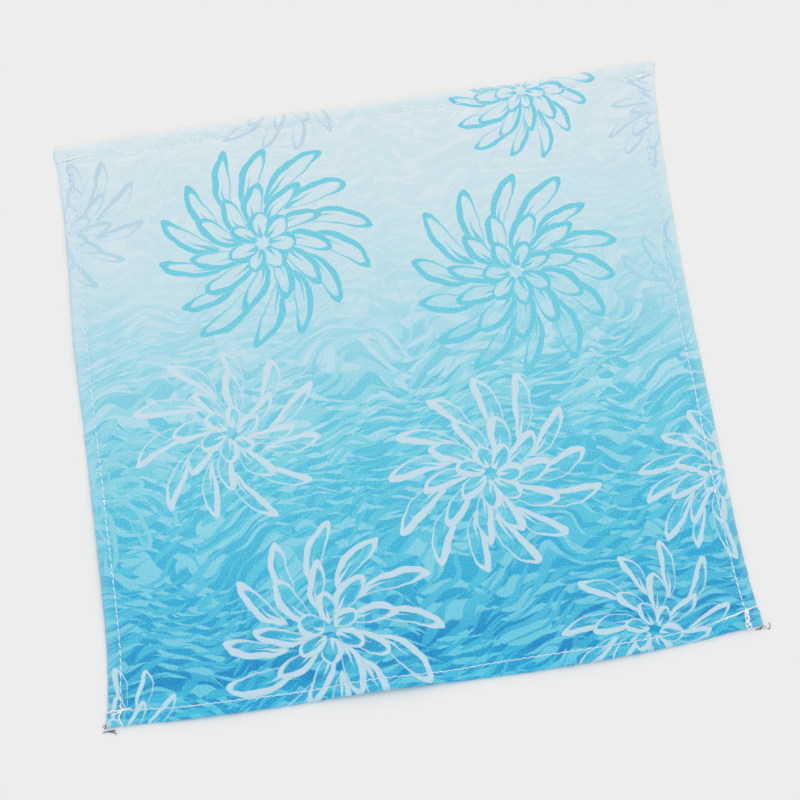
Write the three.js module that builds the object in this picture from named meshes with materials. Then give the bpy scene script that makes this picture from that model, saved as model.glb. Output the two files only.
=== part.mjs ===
// Towel handkerchief: one square of printed cotton towelling, hemmed on all four sides,
// lying face up on a flat surface. The cloth is a single closed sheet. The side hems are
// turned first and the front and back hems over them, so each corner is a thicker block.
// Millimetres, +Z up, front edge towards -Y. The origin is the middle of the underside.

import * as THREE from 'three';

// ---------------------------------------------------------------- driving sizes

// Corners of the finished cloth as it lies. It is a little out of square.
const corners = {
  frontLeft: { x: -126.9, y: -126.5 },
  frontRight: { x: 122.5, y: -122.6 },
  backLeft: { x: -122.8, y: 121.5 },
  backRight: { x: 127.3, y: 126.4 },
};
const sideLength = 249.5;

// How far each edge bows out of the straight line between its corners, at a share of its
// length. Front and back run from left to right, left and right run from front to back.
const edgeBows = [
  { along: 0.00, front: 0.00, back: 0.00, left: 0.00, right: 0.00 },
  { along: 0.04, front: 0.25, back: 0.20, left: -1.00, right: -0.60 },
  { along: 0.12, front: 1.45, back: 0.30, left: -2.45, right: -1.90 },
  { along: 0.24, front: 2.20, back: 0.25, left: -2.70, right: -2.90 },
  { along: 0.36, front: 2.35, back: 0.40, left: -2.05, right: -3.20 },
  { along: 0.50, front: 3.05, back: -0.35, left: -1.30, right: -3.75 },
  { along: 0.64, front: 4.05, back: -0.70, left: -0.45, right: -3.90 },
  { along: 0.76, front: 3.90, back: -1.35, left: -1.20, right: -3.40 },
  { along: 0.88, front: 2.55, back: -1.20, left: -1.05, right: -2.40 },
  { along: 0.96, front: 0.85, back: -0.30, left: -0.30, right: -1.00 },
  { along: 1.00, front: 0.00, back: 0.00, left: 0.00, right: 0.00 },
];

// The cloth and its hem in section, from the folded edge inwards. The turned hem is a soft
// roll, drawn down by its seam, and its inner fold lifts the single cloth beside it.
const hemSection = [
  { inset: 0.0, top: 1.15, under: 1.15 },
  { inset: 0.5, top: 2.00, under: 0.30 },
  { inset: 1.4, top: 2.45, under: 0.00 },
  { inset: 2.8, top: 2.60, under: 0.00 },
  { inset: 4.2, top: 2.45, under: 0.00 },
  { inset: 5.0, top: 2.35, under: 0.00 },
  { inset: 5.8, top: 2.40, under: 0.00 },
  { inset: 6.6, top: 2.45, under: 0.05 },
  { inset: 7.4, top: 2.45, under: 0.80 },
  { inset: 10.0, top: 2.35, under: 0.60 },
  { inset: 14.0, top: 2.10, under: 0.20 },
  { inset: 20.0, top: 1.90, under: 0.00 },
];
const seamInset = 5.0;
const seamDip = 0.35;
const seamHalfWidth = 1.0;
const foldRadius = 1.4;

// Corner blocks, where one hem is folded over the end of another.
const cornerRadius = 1.8;
const cornerRise = 0.45;
const hemEndReach = 6.0;
const seamNotch = 0.45;
const hemEnds = {
  front: { atStart: 0.0, atEnd: 0.0 },
  back: { atStart: 0.0, atEnd: 0.0 },
  left: { atStart: 0.5, atEnd: 0.7 },
  right: { atStart: 0.3, atEnd: 0.0 },
};

// Low places where the cloth stands off the surface, at a point of its spread.
const swells = [
  { x: -21, y: -128, reachX: 34, reachY: 30, rise: 1.2 },
  { x: 60, y: -128, reachX: 26, reachY: 22, rise: 0.4 },
  { x: -127, y: -72, reachX: 20, reachY: 24, rise: 0.4 },
  { x: 126, y: -66, reachX: 26, reachY: 38, rise: 0.4 },
  { x: -58, y: 60, reachX: 48, reachY: 34, rise: 0.35 },
  { x: 66, y: 42, reachX: 42, reachY: 50, rise: 0.3 },
  { x: 62, y: -66, reachX: 50, reachY: 40, rise: 0.3 },
];

const bodyCells = 21;

// ---------------------------------------------------------------- small helpers

const clamp01 = (value) => Math.min(1, Math.max(0, value));

// The rows on either side of a value, and how far it lies from the first to the second.
function bracket(rows, key, value) {
  let first = 0;
  while (first < rows.length - 2 && value > rows[first + 1][key]) first += 1;
  const span = rows[first + 1][key] - rows[first][key];
  return { first, share: clamp01((value - rows[first][key]) / span) };
}

function straightThrough(rows, key, column, value) {
  const { first, share } = bracket(rows, key, value);
  return rows[first][column] * (1 - share) + rows[first + 1][column] * share;
}

// A smooth curve through a table's rows, with each row's slope taken from its neighbours.
function smoothThrough(rows, key, column, value) {
  const { first, share } = bracket(rows, key, value);
  const slopeAt = (row) => {
    const before = rows[Math.max(0, row - 1)];
    const after = rows[Math.min(rows.length - 1, row + 1)];
    return (after[column] - before[column]) / (after[key] - before[key]);
  };
  const a = rows[first];
  const b = rows[first + 1];
  const span = b[key] - a[key];
  const square = share * share;
  const cube = square * share;
  return a[column] * (2 * cube - 3 * square + 1)
    + slopeAt(first) * span * (cube - 2 * square + share)
    + b[column] * (3 * square - 2 * cube)
    + slopeAt(first + 1) * span * (cube - square);
}

// ---------------------------------------------------------------- outline

const edges = {
  front: { from: corners.frontLeft, to: corners.frontRight, turn: 1 },
  back: { from: corners.backLeft, to: corners.backRight, turn: -1 },
  left: { from: corners.frontLeft, to: corners.backLeft, turn: -1 },
  right: { from: corners.frontRight, to: corners.backRight, turn: 1 },
};

function outwardOf(name) {
  const { from, to, turn } = edges[name];
  const length = Math.hypot(to.x - from.x, to.y - from.y);
  return { x: turn * (to.y - from.y) / length, y: -turn * (to.x - from.x) / length };
}

function edgePoint(name, along) {
  const { from, to } = edges[name];
  const outward = outwardOf(name);
  const bow = smoothThrough(edgeBows, 'along', name, along);
  return {
    x: from.x + (to.x - from.x) * along + outward.x * bow,
    y: from.y + (to.y - from.y) * along + outward.y * bow,
  };
}

// A point of the cloth's spread: across runs from left to right, up from front to back.
function spreadPoint(across, up) {
  const front = edgePoint('front', across);
  const back = edgePoint('back', across);
  const left = edgePoint('left', up);
  const right = edgePoint('right', up);
  const blend = (axis) => (1 - up) * front[axis] + up * back[axis]
    + (1 - across) * left[axis] + across * right[axis]
    - (1 - across) * (1 - up) * corners.frontLeft[axis]
    - across * (1 - up) * corners.frontRight[axis]
    - (1 - across) * up * corners.backLeft[axis]
    - across * up * corners.backRight[axis];
  return { x: blend('x'), y: blend('y') };
}

// The end of an over-folded hem stands out past the edge, and its seam draws the edge in.
function hemEndShift(name, along) {
  const { atStart, atEnd } = hemEnds[name];
  const fromStart = along * sideLength;
  const fromEnd = (1 - along) * sideLength;
  const block = (distance) => clamp01((seamInset + 0.4 - distance) / 0.8);
  const notch = (distance) => Math.max(0, 1 - Math.abs(distance - seamInset) / seamHalfWidth);
  return atStart * block(fromStart) + atEnd * block(fromEnd)
    - seamNotch * (notch(fromStart) + notch(fromEnd));
}

function clothPoint(across, up) {
  const insets = {
    front: up * sideLength,
    back: (1 - up) * sideLength,
    left: across * sideLength,
    right: (1 - across) * sideLength,
  };
  const point = spreadPoint(across, up);
  for (const name of Object.keys(edges)) {
    const along = name === 'front' || name === 'back' ? across : up;
    const outward = outwardOf(name);
    const shift = hemEndShift(name, along) * clamp01(1 - insets[name] / hemEndReach) ** 2;
    point.x += outward.x * shift;
    point.y += outward.y * shift;
  }
  // The corner's tip is drawn in to a small round.
  const sideInset = Math.min(insets.left, insets.right);
  const endInset = Math.min(insets.front, insets.back);
  const tip = clamp01(1 - sideInset / cornerRadius) ** 2 * clamp01(1 - endInset / cornerRadius) ** 2;
  const pull = (1 - Math.SQRT1_2) * cornerRadius * tip;
  point.x += across < 0.5 ? pull : -pull;
  point.y += up < 0.5 ? pull : -pull;
  return { ...point, sideInset, endInset };
}

// ---------------------------------------------------------------- heights

function swellAt(x, y) {
  return swells.reduce((sum, swell) => {
    const away = Math.hypot((x - swell.x) / swell.reachX, (y - swell.y) / swell.reachY);
    return sum + swell.rise * clamp01(1 - away * away) ** 2;
  }, 0);
}

function heightsAt({ x, y, sideInset, endInset }) {
  const inset = Math.min(sideInset, endInset);
  const overFold = clamp01(inset / foldRadius);
  const inHem = (distance) => clamp01((seamInset + foldRadius - distance) / foldRadius);
  const dip = (distance) => Math.max(0, 1 - Math.abs(distance - seamInset) / seamHalfWidth);
  const layers = cornerRise * inHem(sideInset) * inHem(endInset);
  const seams = seamDip * Math.max(dip(sideInset), dip(endInset));
  const lift = swellAt(x, y);
  return {
    top: straightThrough(hemSection, 'inset', 'top', inset) + overFold * (layers - seams) + lift,
    under: straightThrough(hemSection, 'inset', 'under', inset) + lift,
  };
}

// ---------------------------------------------------------------- the closed sheet

// Grid lines: the hem's own stations at both ends, and even steps over the body between.
function gridLines() {
  const hem = hemSection.map((row) => row.inset / sideLength);
  const first = hem[hem.length - 1];
  const step = (1 - 2 * first) / bodyCells;
  const body = Array.from({ length: bodyCells - 1 }, (_, cell) => first + step * (cell + 1));
  return [...hem, ...body, ...hem.map((share) => 1 - share).reverse()];
}

function clothGeometry() {
  const lines = gridLines();
  const last = lines.length - 1;
  const positions = [];
  const topRows = [];
  const underRows = [];
  for (let row = 0; row <= last; row += 1) {
    topRows.push([]);
    underRows.push([]);
    for (let column = 0; column <= last; column += 1) {
      const point = clothPoint(lines[column], lines[row]);
      const { top, under } = heightsAt(point);
      topRows[row].push(positions.length / 3);
      positions.push(point.x, point.y, top);
      const onRim = row === 0 || row === last || column === 0 || column === last;
      if (onRim) {
        underRows[row].push(topRows[row][column]);
      } else {
        underRows[row].push(positions.length / 3);
        positions.push(point.x, point.y, under);
      }
    }
  }

  // Each cell is split along the diagonal that points to its nearest corner.
  const indices = [];
  const addCell = (grid, row, column, facesUp) => {
    const a = grid[row][column];
    const b = grid[row][column + 1];
    const c = grid[row + 1][column + 1];
    const d = grid[row + 1][column];
    const sameSide = (row < last / 2) === (column < last / 2);
    const triangles = sameSide ? [[a, b, c], [a, c, d]] : [[a, b, d], [b, c, d]];
    for (const [p, q, r] of triangles) {
      indices.push(...(facesUp ? [p, q, r] : [p, r, q]));
    }
  };
  for (let row = 0; row < last; row += 1) {
    for (let column = 0; column < last; column += 1) {
      addCell(topRows, row, column, true);
      addCell(underRows, row, column, false);
    }
  }

  const geometry = new THREE.BufferGeometry();
  geometry.setAttribute('position', new THREE.Float32BufferAttribute(positions, 3));
  geometry.setIndex(indices);
  geometry.computeBoundingBox();
  const { min, max } = geometry.boundingBox;
  geometry.translate(-(min.x + max.x) / 2, -(min.y + max.y) / 2, -min.z);
  geometry.computeVertexNormals();
  return geometry;
}

const clothMaterial = new THREE.MeshStandardMaterial({
  color: 0x93d3e6,
  roughness: 0.95,
  metalness: 0,
});

const cloth = new THREE.Mesh(clothGeometry(), clothMaterial);
cloth.name = 'cloth';

const handkerchief = new THREE.Group();
handkerchief.add(cloth);

export default handkerchief;
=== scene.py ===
# %% [markdown]
# # A towel handkerchief
# One square of cotton towelling with a printed face and a looped back, hemmed on all four
# sides with white thread and lying face up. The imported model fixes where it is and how
# large it is. This script dresses it: the cloth with its turned hem, the stitches, the
# thread ends, the pile, and the print.

# %% Load the frame
import math

import bpy
import numpy as np
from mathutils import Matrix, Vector


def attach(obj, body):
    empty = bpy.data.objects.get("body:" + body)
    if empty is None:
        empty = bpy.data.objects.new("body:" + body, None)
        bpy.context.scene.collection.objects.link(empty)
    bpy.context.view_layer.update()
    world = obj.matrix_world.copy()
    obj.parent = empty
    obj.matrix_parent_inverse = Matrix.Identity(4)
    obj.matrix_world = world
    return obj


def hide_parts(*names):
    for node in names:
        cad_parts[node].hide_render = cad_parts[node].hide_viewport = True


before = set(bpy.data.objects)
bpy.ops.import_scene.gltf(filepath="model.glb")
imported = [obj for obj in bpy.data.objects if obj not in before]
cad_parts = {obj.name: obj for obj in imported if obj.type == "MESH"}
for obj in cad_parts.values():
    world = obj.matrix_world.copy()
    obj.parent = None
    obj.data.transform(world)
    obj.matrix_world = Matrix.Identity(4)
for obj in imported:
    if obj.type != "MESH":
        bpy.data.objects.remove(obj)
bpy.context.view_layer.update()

# %% [markdown]
# ## Sizes
# A hemmed square never lies quite square: sewing pulls each edge into its own bow. The
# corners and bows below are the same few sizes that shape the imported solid, so the dressed
# cloth has the solid's outline. They are millimetres, and `MM` turns them into metres.

# %% Sizes of the cloth and its hems
MM = 0.001
SIDE = 249.5
CORNERS = {
    "front_left": (-126.8, -126.3),
    "front_right": (123.4, -122.6),
    "back_left": (-122.8, 122.3),
    "back_right": (128.6, 127.3),
}
EDGES = {
    "front": ("front_left", "front_right", 1),
    "back": ("back_left", "back_right", -1),
    "left": ("front_left", "back_left", -1),
    "right": ("front_right", "back_right", 1),
}
EDGE_BOWS = {
    "along": (0, 0.04, 0.12, 0.24, 0.36, 0.50, 0.64, 0.76, 0.88, 0.96, 1),
    "front": (0, 0.30, 1.55, 2.30, 2.45, 3.15, 4.05, 3.95, 2.60, 0.75, 0),
    "back": (0, 0.25, 0.50, 0.65, 0.30, -0.40, -0.30, -1.40, -0.65, 0.10, 0),
    "left": (0, -1.05, -2.50, -2.55, -2.00, -1.20, -0.50, -1.20, -1.10, -0.30, 0),
    "right": (0, -1.00, -2.45, -3.30, -3.60, -4.25, -4.30, -3.85, -2.80, -1.30, 0),
}
SEAM_INSETS = {
    "along": (0, 0.04, 0.10, 0.20, 0.32, 0.40, 0.50, 0.60, 0.68, 0.80, 0.86, 0.93, 1),
    "front": (5.95, 5.5, 4.85, 4.6, 4.2, 4.65, 4.15, 5.15, 5.25, 4.65, 4.4, 4.95, 7.3),
    "back": (6.8, 6.2, 6.95, 6.9, 6.5, 6.05, 5.75, 6.45, 6.4, 5.7, 6.5, 7.3, 7.0),
    "left": (5.2, 4.95, 5.1, 4.9, 4.7, 4.9, 4.85, 5.0, 5.1, 4.7, 4.9, 4.9, 4.8),
    "right": (4.9, 5.1, 5.15, 5.15, 5.4, 5.2, 5.45, 5.3, 5.6, 5.75, 5.9, 6.05, 5.6),
}

# %% [markdown]
# A table of a few rows becomes a smooth curve when each row's slope is taken from its
# neighbours. Written for whole arrays, the same function serves a hem, an edge or a seam.

# %% A smooth curve through a table
def through(table, column, at):
    """The smooth curve through a table's column, at shares of the edge's length."""
    keys = np.asarray(table["along"], float)
    values = np.asarray(table[column], float)
    slopes = np.empty_like(values)
    slopes[1:-1] = (values[2:] - values[:-2]) / (keys[2:] - keys[:-2])
    slopes[0] = (values[1] - values[0]) / (keys[1] - keys[0])
    slopes[-1] = (values[-1] - values[-2]) / (keys[-1] - keys[-2])
    first = np.clip(np.searchsorted(keys, at, side="right") - 1, 0, len(keys) - 2)
    span = keys[first + 1] - keys[first]
    share = np.clip((at - keys[first]) / span, 0, 1)
    square, cube = share**2, share**3
    return (
        values[first] * (2 * cube - 3 * square + 1)
        + slopes[first] * span * (cube - 2 * square + share)
        + values[first + 1] * (3 * square - 2 * cube)
        + slopes[first + 1] * span * (cube - square)
    )


def clamp01(value):
    return np.clip(value, 0.0, 1.0)


def waves(distance, lengths, seed):
    """A wandering line, from -1 to 1: sines of these lengths with seeded phases."""
    phases = np.random.default_rng(seed).uniform(0, 2 * np.pi, len(lengths))
    return sum(
        np.sin(2 * np.pi * distance / length + phase)
        for length, phase in zip(lengths, phases)
    ) / len(lengths)


# %% [markdown]
# ## The spread of the cloth
# Every point of the cloth is named by two shares: `across` runs from the left edge to the
# right one, and `up` from the front edge to the back one. Blending the four bowed edges
# between them (a Coons patch) turns the pair into a place on the table. A real hem also
# wanders a little, its ends stand out past the edge, and each seam draws the edge in.

# %% From shares of the cloth to a place on the table
HEM_END_STEPS = {
    # edge: how far the ends of the crossing hems stand out at its start and at its end
    "front": (0.0, 0.0),
    "back": (0.0, 0.0),
    "left": (0.3, 0.7),
    "right": (0.3, 0.3),
}
HEM_END_REACH = 6.0
HEM_END_SLOPE = 0.8
SEAM_NOTCH = 0.45
SEAM_NOTCH_WIDTH = 0.7
CORNER_RADIUS = 1.1
EDGE_WANDER = 0.16


def outward_of(name):
    start, end, turn = EDGES[name]
    step = np.subtract(CORNERS[end], CORNERS[start])
    return turn * np.array([step[1], -step[0]]) / np.hypot(*step)


def edge_points(name, along):
    start, end, _ = EDGES[name]
    straight = np.outer(1 - along, CORNERS[start]) + np.outer(along, CORNERS[end])
    return straight + np.outer(through(EDGE_BOWS, name, along), outward_of(name))


def insets_of(across, up):
    return {
        "front": up * SIDE,
        "back": (1 - up) * SIDE,
        "left": across * SIDE,
        "right": (1 - across) * SIDE,
    }


def along_edge(name, across, up):
    """How far along an edge each point lies, as a share of its length."""
    return across if name in ("front", "back") else up


def edge_shift(name, along):
    """How far an edge stands out locally: hem ends, seam notches and its own wander."""
    shift = EDGE_WANDER * waves(along * SIDE, (5.3, 8.1, 13.7, 22.0), 11)
    crossing = ("left", "right") if name in ("front", "back") else ("front", "back")
    crossed_at = 0.0 if name in ("front", "left") else 1.0
    distances = (along * SIDE, (1 - along) * SIDE)
    for other, distance, step in zip(crossing, distances, HEM_END_STEPS[name]):
        seam = through(SEAM_INSETS, other, np.full_like(along, crossed_at))
        shift = shift + step * clamp01((seam + HEM_END_SLOPE / 2 - distance) / HEM_END_SLOPE)
        shift = shift - SEAM_NOTCH * np.exp(-(((distance - seam) / SEAM_NOTCH_WIDTH) ** 2))
    return shift


def spread(across, up):
    """The place on the table, in mm, of points named by their shares of the cloth."""
    front, back = edge_points("front", across), edge_points("back", across)
    left, right = edge_points("left", up), edge_points("right", up)
    a, u = across[:, None], up[:, None]
    place = (1 - u) * front + u * back + (1 - a) * left + a * right
    place -= (1 - a) * (1 - u) * np.array(CORNERS["front_left"])
    place -= a * (1 - u) * np.array(CORNERS["front_right"])
    place -= (1 - a) * u * np.array(CORNERS["back_left"])
    place -= a * u * np.array(CORNERS["back_right"])
    insets = insets_of(across, up)
    for name in EDGES:
        fade = clamp01(1 - insets[name] / HEM_END_REACH) ** 2
        shift = edge_shift(name, along_edge(name, across, up))
        place += np.outer(shift * fade, outward_of(name))
    side = np.minimum(insets["left"], insets["right"])
    end = np.minimum(insets["front"], insets["back"])
    tip = clamp01(1 - side / CORNER_RADIUS) ** 2 * clamp01(1 - end / CORNER_RADIUS) ** 2
    pull = (1 - math.sqrt(0.5)) * CORNER_RADIUS * tip
    place[:, 0] += np.where(across < 0.5, pull, -pull)
    place[:, 1] += np.where(up < 0.5, pull, -pull)
    return place


# %% [markdown]
# ## Heights
# In section the hem is a soft roll: the cloth turns round its fold, lies double, and is
# drawn down in a groove along the seam. The seam also gathers the cloth into small puckers
# that run across the hem, and where the needle went through, the thread pulls a dimple.

# %% What each seam does to the cloth
SEAM_GROOVES = {
    # seam: depth, reach toward the fold, reach inward, and depth of a needle dimple
    "front": (0.32, 0.85, 0.85, 0.22),
    "back": (0.46, 1.7, 1.0, 0.14),
    "left": (0.42, 1.5, 1.3, 0.20),
    "right": (0.46, 1.7, 1.0, 0.20),
}
HOLE_PITCH = {"front": 2.95, "back": 2.90, "left": 2.95, "right": 2.75}
HOLE_WANDER = 0.3
THREAD_TROUGH = 0.48
THREAD_REACH = 0.6
PUCKER = 0.16
PUCKER_SLANT = {"front": 0.8, "back": -0.9, "left": -0.7, "right": 1.1}
PUCKER_REACH_OUTWARD = 5.0
PUCKER_REACH_INWARD = 4.0


def hole_count(name, distance):
    """How many needle holes lie along a seam before each distance from its start."""
    wander = HOLE_WANDER * waves(distance, (37.0, 61.0), 40 + list(EDGES).index(name))
    return distance / HOLE_PITCH[name] + wander


def seam_relief(name, along, inset):
    """Groove, needle dimples and puckers of one seam: how far they lower the face."""
    distance = along * SIDE
    aside = inset - through(SEAM_INSETS, name, along)
    depth, outward, inward, dimple = SEAM_GROOVES[name]
    groove = depth * np.exp(-((aside / np.where(aside < 0, outward, inward)) ** 2))
    holes = 0.5 + 0.5 * np.cos(2 * np.pi * hole_count(name, distance))
    groove += dimple * holes**3 * np.exp(-((aside / THREAD_REACH) ** 2))
    seed = 20 + list(EDGES).index(name)
    slant = distance + PUCKER_SLANT[name] * aside
    gather = waves(slant, (5.9, 8.3, 11.7, 17.0), seed)
    gather = gather * (0.6 + 0.6 * waves(distance, (31.0, 53.0), seed + 9))
    reach = np.where(aside < 0, PUCKER_REACH_OUTWARD, PUCKER_REACH_INWARD)
    return groove + PUCKER * gather * np.exp(-np.abs(aside) / reach)


def trough(name, along, inset):
    """The hollow under a seam, where the lower thread lies."""
    aside = inset - through(SEAM_INSETS, name, along)
    return THREAD_TROUGH * np.exp(-((aside / THREAD_REACH) ** 2))


# %% [markdown]
# A hemmed cloth doesn't lie dead flat. A few low swells lift it off the table, the highest
# of them at the front edge, and each fades out round its centre.

# %% Swells of the whole cloth
SWELLS = {
    # centre, reach each way from it, and rise at the centre
    "x": (-21, 62, -84, -127, -126, 126, -58, 66, 62),
    "y": (-128, -128, -128, -60, 50, -66, 60, 42, -66),
    "reach_x": (36, 34, 26, 22, 20, 26, 48, 42, 50),
    "reach_y": (30, 22, 18, 56, 58, 38, 34, 50, 40),
    "rise": (1.25, 0.5, 0.4, 0.7, 0.6, 0.3, 0.35, 0.3, 0.3),
}


def swell_at(place):
    lift = np.zeros(len(place))
    for x, y, reach_x, reach_y, rise in zip(*SWELLS.values()):
        away = np.hypot((place[:, 0] - x) / reach_x, (place[:, 1] - y) / reach_y)
        lift += rise * clamp01(1 - away**2) ** 2
    return lift


# %% [markdown]
# The hem's thickness is a table too, by distance from the fold, one row for each edge. Where
# two hems cross, the corner is thicker. Underneath, the single cloth inside the hem stands
# clear of the table, because the pile carries it.

# %% Heights of the upper and under face
HEM_THICKNESS = {
    "along": (0, 0.8, 1.6, 2.8, 4.2, 5.4, 6.6, 8.0, 10, 14, 20, 30),
    "front": (1.24, 1.42, 1.50, 1.57, 1.62, 1.63, 1.62, 1.62, 1.64, 1.66, 1.66, 1.66),
    "back": (0.98, 1.24, 1.42, 1.58, 1.64, 1.64, 1.62, 1.62, 1.64, 1.66, 1.66, 1.66),
    "left": (0.98, 1.22, 1.40, 1.56, 1.62, 1.64, 1.62, 1.62, 1.64, 1.66, 1.66, 1.66),
    "right": (0.98, 1.22, 1.40, 1.56, 1.62, 1.64, 1.62, 1.62, 1.64, 1.66, 1.66, 1.66),
}
RIM_HEIGHT = 0.42
TOP_FOLD_RADIUS = 0.5
UNDER_FOLD_RADIUS = 0.42
HEM_WIDTH = 8.0
PILE_HEIGHT = 0.72
PILE_SLOPE = 0.7
CORNER_BLOCK = 6.8
CORNER_BLOCK_SLOPE = 1.2
CORNER_RISE = 0.30
FACE_WANDER = 0.06
WANDER_STARTS = 3.0
TROUGH_STARTS = 1.5


def quarter_round(distance, radius):
    """Rises from 0 at the fold to 1 as a quarter circle does."""
    left = 1 - clamp01(distance / radius)
    return np.sqrt(np.maximum(0.0, 1 - left**2))


def heights(across, up, place):
    """Heights in mm of the upper and the under face."""
    insets = insets_of(across, up)
    side = np.minimum(insets["left"], insets["right"])
    end = np.minimum(insets["front"], insets["back"])
    inset = np.minimum(side, end)
    thickness = np.minimum.reduce([through(HEM_THICKNESS, name, insets[name]) for name in EDGES])
    block = clamp01((CORNER_BLOCK - side) / CORNER_BLOCK_SLOPE)
    block = block * clamp01((CORNER_BLOCK - end) / CORNER_BLOCK_SLOPE)
    thickness = thickness + CORNER_RISE * block
    relief, hollow = np.zeros(len(across)), np.zeros(len(across))
    for name in EDGES:
        along = along_edge(name, across, up)
        relief = relief + seam_relief(name, along, insets[name])
        hollow = np.maximum(hollow, trough(name, along, insets[name]))
    wander = waves(place[:, 0] + 0.3 * place[:, 1], (9.0, 17.0, 31.0), 3)
    wander = FACE_WANDER * (wander + waves(place[:, 1] - 0.4 * place[:, 0], (11.0, 19.0, 37.0), 4))
    full = thickness - relief + wander * clamp01(inset / WANDER_STARTS)
    top = RIM_HEIGHT + (full - RIM_HEIGHT) * quarter_round(inset, TOP_FOLD_RADIUS)
    under = RIM_HEIGHT * (1 - quarter_round(inset, UNDER_FOLD_RADIUS))
    under = under + hollow * clamp01(inset / TROUGH_STARTS)
    inside = clamp01((inset - HEM_WIDTH) / PILE_SLOPE)
    under = np.maximum(under, PILE_HEIGHT * inside * inside * (3 - 2 * inside))
    lift = swell_at(place)
    return top + lift, under + lift


# %% [markdown]
# ## The cloth's mesh
# A grid in shares of the cloth becomes the sheet: one layer for the printed face and one
# for the back, sharing the vertices along the folded edge, so the mesh is closed. The hem
# needs cells of about 0.7 mm for its stitches and puckers and the flat middle does not, so
# cells come in blocks of three by three, and each block in the middle is a single face.

# %% Grid lines
FOLD_LINES = (0, 0.12, 0.3, 0.55, 0.9, 1.4, 2.0, 2.7, 3.4, 3.9, 4.3, 4.7, 5.1, 5.5, 5.9, 6.3,
              6.7, 7.1, 7.5, 8.0, 8.6, 9.3)
BLOCK = 3
MIDDLE_BLOCKS = 110
FINE_BLOCKS = 9

middle = np.linspace(FOLD_LINES[-1], SIDE - FOLD_LINES[-1], MIDDLE_BLOCKS * BLOCK + 1)
grid_lines = np.concatenate([FOLD_LINES[:-1], middle, SIDE - np.array(FOLD_LINES[-2::-1])]) / SIDE
blocks = (len(grid_lines) - 1) // BLOCK
print("grid lines each way:", len(grid_lines), "blocks each way:", blocks)


# %% Faces of one layer
def is_fine(row, column):
    nearest = min(row, column, blocks - 1 - row, blocks - 1 - column)
    return nearest < FINE_BLOCKS


def block_faces(row, column):
    """The faces of one block of cells, as (line up, line across) pairs."""
    y, x = row * BLOCK, column * BLOCK
    if is_fine(row, column):
        return [
            [(y + j, x + i), (y + j, x + i + 1), (y + j + 1, x + i + 1), (y + j + 1, x + i)]
            for j in range(BLOCK)
            for i in range(BLOCK)
        ]
    # A plain block takes its fine neighbours' vertices into its own outline.
    steps = range(BLOCK)
    sides = (
        (row - 1, column, [(y, x + i) for i in steps]),
        (row, column + 1, [(y + i, x + BLOCK) for i in steps]),
        (row + 1, column, [(y + BLOCK, x + BLOCK - i) for i in steps]),
        (row, column - 1, [(y + BLOCK - i, x) for i in steps]),
    )
    outline = []
    for beside_row, beside_column, points in sides:
        outline += points if is_fine(beside_row, beside_column) else points[:1]
    return [outline]


layer_faces = [
    face for row in range(blocks) for column in range(blocks) for face in block_faces(row, column)
]
used = sorted({point for face in layer_faces for point in face})
number_of = {point: number for number, point in enumerate(used)}
up_share, across_share = grid_lines[np.array(used).T]
print("faces in one layer:", len(layer_faces), "vertices:", len(used))

# %% [markdown]
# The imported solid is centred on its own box, so the spread is centred in the same way.

# %% Vertices of both layers
places = spread(across_share, up_share)
centre_shift = -(places.min(axis=0) + places.max(axis=0)) / 2


def on_cloth(across, up, layer=0):
    """Points on the printed face (layer 0) or on the back (layer 1), in the shared frame."""
    place = spread(across, up)
    return np.column_stack([place + centre_shift, heights(across, up, place)[layer]])


top_heights, under_heights = heights(across_share, up_share, places)
rim = np.minimum.reduce(list(insets_of(across_share, up_share).values())) < 1e-6
top_points = np.column_stack([places + centre_shift, top_heights])
under_points = np.column_stack([places + centre_shift, under_heights])
under_number = np.where(rim, np.arange(len(used)), 0)
under_number[~rim] = len(used) + np.arange((~rim).sum())
cloth_points = np.concatenate([top_points, under_points[~rim]])
print("cloth spans in mm:", np.ptp(cloth_points, axis=0).round(2))

# %% [markdown]
# The print follows the cloth round its fold: on the turned hem underneath, the pattern goes
# on past the edge. Its coordinates are kept as a UV map in shares of the cloth. The faces
# underneath and inside the hem take the second material, the unprinted looped back.

# %% Make the cloth
BACK_STARTS = 0.3


def mesh_object(name, points_mm, faces):
    mesh = bpy.data.meshes.new(name)
    mesh.from_pydata((np.asarray(points_mm) * MM).tolist(), [], faces)
    mesh.validate()
    mesh.shade_smooth()
    made = bpy.data.objects.new(name, mesh)
    bpy.context.scene.collection.objects.link(made)
    return made


def beyond_edge(share):
    """The pattern's share on the turned hem: mirrored in the folded edge."""
    return np.where(share < 0.5, -share, 2 - share)


top_faces = [[number_of[point] for point in face] for face in layer_faces]
under_faces = [[int(under_number[v]) for v in reversed(face)] for face in top_faces]
cloth = mesh_object("towel_cloth", cloth_points, top_faces + under_faces)

shares = np.column_stack([across_share, up_share])
inset_mm = np.column_stack([np.minimum(across_share, 1 - across_share),
                            np.minimum(up_share, 1 - up_share)]) * SIDE
turned = np.where(inset_mm < HEM_WIDTH, beyond_edge(shares), shares)
vertex_uv = np.concatenate([shares, turned[~rim]])
corner_vertices = np.empty(len(cloth.data.loops), int)
cloth.data.loops.foreach_get("vertex_index", corner_vertices)
print_shares = cloth.data.uv_layers.new(name="print_shares")
print_shares.data.foreach_set("uv", vertex_uv[corner_vertices].ravel())

nearest_fold = inset_mm.min(axis=1)
on_back = [int(nearest_fold[face].mean() > HEM_WIDTH + BACK_STARTS) for face in top_faces]
slots = [0] * len(top_faces) + on_back
cloth.data.polygons.foreach_set("material_index", slots)
print("cloth faces:", len(cloth.data.polygons))

# %% [markdown]
# ## Thread
# Sewing thread is two plies twisted together. A tube follows each ply, and the plies follow
# the thread's middle line, so one function makes a stitch, a back-tack or a loose end.

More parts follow.
